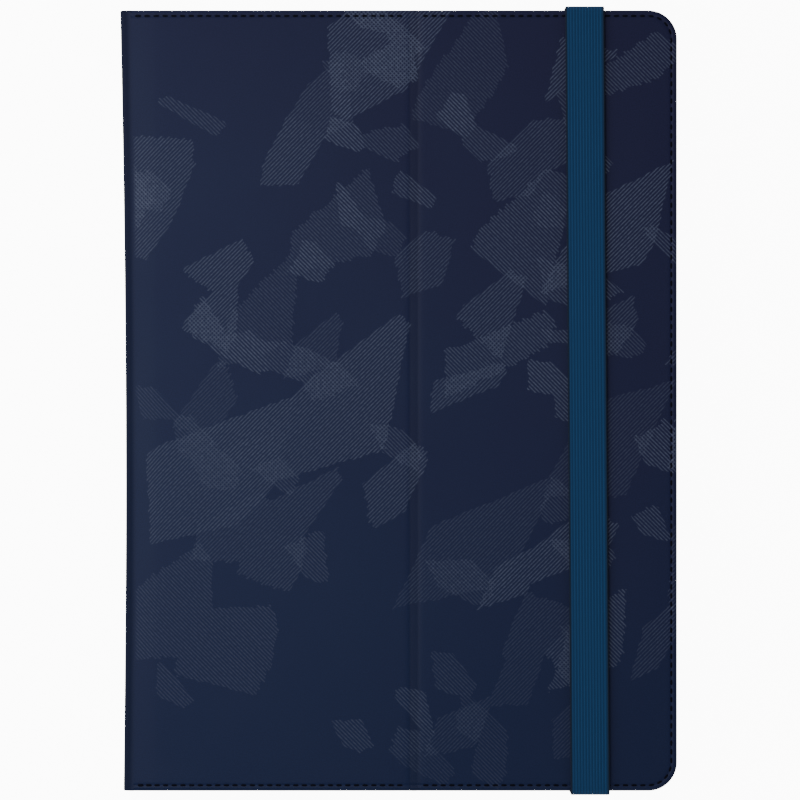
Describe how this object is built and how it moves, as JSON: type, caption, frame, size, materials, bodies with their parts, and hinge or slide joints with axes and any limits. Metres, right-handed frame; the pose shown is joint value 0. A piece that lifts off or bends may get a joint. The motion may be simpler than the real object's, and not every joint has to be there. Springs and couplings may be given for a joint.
{
  "type": "tablet keyboard case",
  "caption": "Folio keyboard case for a tablet, with a soft patterned cover, folding stand leg, sprung tablet tray and elastic closing band.",
  "frame": {"origin": "middle of the base panel's underside, the case closed and lying on its back", "axes": "+X from the spine to the free edge, +Y up the cover, +Z out of the front cover"},
  "size_m": [0.192, 0.2728, 0.0263],
  "materials": {
    "cover_leather": "embossed tone-on-tone pattern, satin",
    "lining_suede": "brushed microfibre",
    "stiff_board": "plain",
    "elastic": "ribbed knit",
    "housing_plastic": "fine texture",
    "key_plastic": "satin",
    "touch_plastic": "smooth",
    "circuit": "solder mask",
    "silicone": "matt",
    "pad_rubber": "matt",
    "foil": "foil wrap",
    "steel": "plain",
    "magnet_nickel": "nickel plate",
    "lens": "diffuse",
    "glue": "film"
  },
  "bodies": {
    "base": {"base_skin": "cover_leather", "base_board": "stiff_board", "base_lining": "lining_suede", "base_hinge_skin": "cover_leather", "band_anchor_tabs": "elastic", "keyboard_bottom": "housing_plastic", "keyboard_top": "housing_plastic", "housing_screws": "steel", "circuit_board": "circuit", "rubber_dome_sheet": "silicone", "battery_cell": "foil", "controller_board": "circuit", "control_board": "circuit", "charging_socket": "steel", "indicator_lenses": "lens", "screen_bumpers": "pad_rubber", "touchpad_foam": "pad_rubber"},
    "spine": {"spine_skin": "cover_leather", "spine_board": "stiff_board", "spine_lining": "lining_suede"},
    "cover": {"cover_skin": "cover_leather", "cover_board": "stiff_board", "cover_lining": "lining_suede", "cover_hinge_skin": "cover_leather", "crease_strip": "cover_leather", "tray_bond": "glue", "tray_back_plate": "housing_plastic", "tray_shell": "housing_plastic", "tray_magnets": "magnet_nickel", "grip_strips": "pad_rubber", "fixed_hooks": "housing_plastic", "fixed_hook_pads": "pad_rubber", "jaw_tension_bands": "pad_rubber"},
    "leg": {"leg_skin": "cover_leather", "leg_board": "stiff_board", "leg_lining": "lining_suede", "leg_magnets": "magnet_nickel"},
    "jaw": {"jaw_slider": "housing_plastic", "jaw_hooks": "housing_plastic", "jaw_hook_pads": "pad_rubber"},
    "band": {"elastic_band": "elastic"},
    "touchpad_plate": {"touchpad": "touch_plastic"},
    "power_knob": {"power_switch": "key_plastic"},
    "pairing_cap": {"pairing_button": "key_plastic"},
    "function_keys_row": {"function_keys": "key_plastic"},
    "number_keys_row": {"number_keys": "key_plastic"},
    "upper_letter_keys_row": {"upper_letter_keys": "key_plastic"},
    "home_letter_keys_row": {"home_letter_keys": "key_plastic"},
    "lower_letter_keys_row": {"lower_letter_keys": "key_plastic"},
    "modifier_keys_row": {"modifier_keys": "key_plastic"},
    "space_bar_row": {"space_bar": "key_plastic"}
  },
  "joints": [
    {"name": "cover_open", "type": "hinge", "parent": "spine", "child": "cover", "pos_m": [-0.09525, 0, 0.02425], "axis": [0, -1, 0], "range_deg": [0, 90]},
    {"name": "spine_fold", "type": "hinge", "parent": "base", "child": "spine", "pos_m": [-0.09525, 0, 0.00075], "axis": [0, -1, 0], "range_deg": [0, 90]},
    {"name": "leg_fold", "type": "hinge", "parent": "cover", "child": "leg", "pos_m": [0.005, 0, 0.0244], "axis": [0, 1, 0], "range_deg": [-140, 0]},
    {"name": "band_release", "type": "hinge", "parent": "base", "child": "band", "pos_m": [0.065, 0, 0.0015], "axis": [0, 1, 0], "range_deg": [0, 180], "deforming": ["elastic_band"]},
    {"name": "jaw_slide", "type": "slide", "parent": "cover", "child": "jaw", "axis": [1, 0, 0], "range_m": [0, 0.014], "stiffness_N_per_m": 250, "springref_m": -0.01, "deforming": ["jaw_tension_bands"]},
    {"name": "function_keys_press", "type": "slide", "parent": "base", "child": "function_keys_row", "axis": [0, 0, 1], "range_m": [-0.0015, 0], "stiffness_N_per_m": 400, "springref_m": 0.0008, "deforming": ["rubber_dome_sheet"]},
    {"name": "number_keys_press", "type": "slide", "parent": "base", "child": "number_keys_row", "axis": [0, 0, 1], "range_m": [-0.0015, 0], "stiffness_N_per_m": 400, "springref_m": 0.0008},
    {"name": "upper_letter_keys_press", "type": "slide", "parent": "base", "child": "upper_letter_keys_row", "axis": [0, 0, 1], "range_m": [-0.0015, 0], "stiffness_N_per_m": 400, "springref_m": 0.0008},
    {"name": "home_letter_keys_press", "type": "slide", "parent": "base", "child": "home_letter_keys_row", "axis": [0, 0, 1], "range_m": [-0.0015, 0], "stiffness_N_per_m": 400, "springref_m": 0.0008},
    {"name": "lower_letter_keys_press", "type": "slide", "parent": "base", "child": "lower_letter_keys_row", "axis": [0, 0, 1], "range_m": [-0.0015, 0], "stiffness_N_per_m": 400, "springref_m": 0.0008},
    {"name": "modifier_keys_press", "type": "slide", "parent": "base", "child": "modifier_keys_row", "axis": [0, 0, 1], "range_m": [-0.0015, 0], "stiffness_N_per_m": 400, "springref_m": 0.0008},
    {"name": "space_bar_press", "type": "slide", "parent": "base", "child": "space_bar_row", "axis": [0, 0, 1], "range_m": [-0.0015, 0], "stiffness_N_per_m": 400, "springref_m": 0.0008},
    {"name": "touchpad_press", "type": "slide", "parent": "base", "child": "touchpad_plate", "axis": [0, 0, 1], "range_m": [-0.0005, 0], "stiffness_N_per_m": 800, "springref_m": 0.0005, "deforming": ["touchpad_foam"]},
    {"name": "power_slide", "type": "slide", "parent": "base", "child": "power_knob", "axis": [0, 1, 0], "range_m": [0, 0.0035]},
    {"name": "pairing_press", "type": "slide", "parent": "base", "child": "pairing_cap", "axis": [0, 0, 1], "range_m": [-0.0005, 0], "stiffness_N_per_m": 300, "springref_m": 0.0005}
  ],
  "couplings": [
    {"joint": "spine_fold", "follows": "cover_open", "ratio": 1},
    {"joint": "band_release", "follows": "cover_open", "ratio": 2}
  ]
}
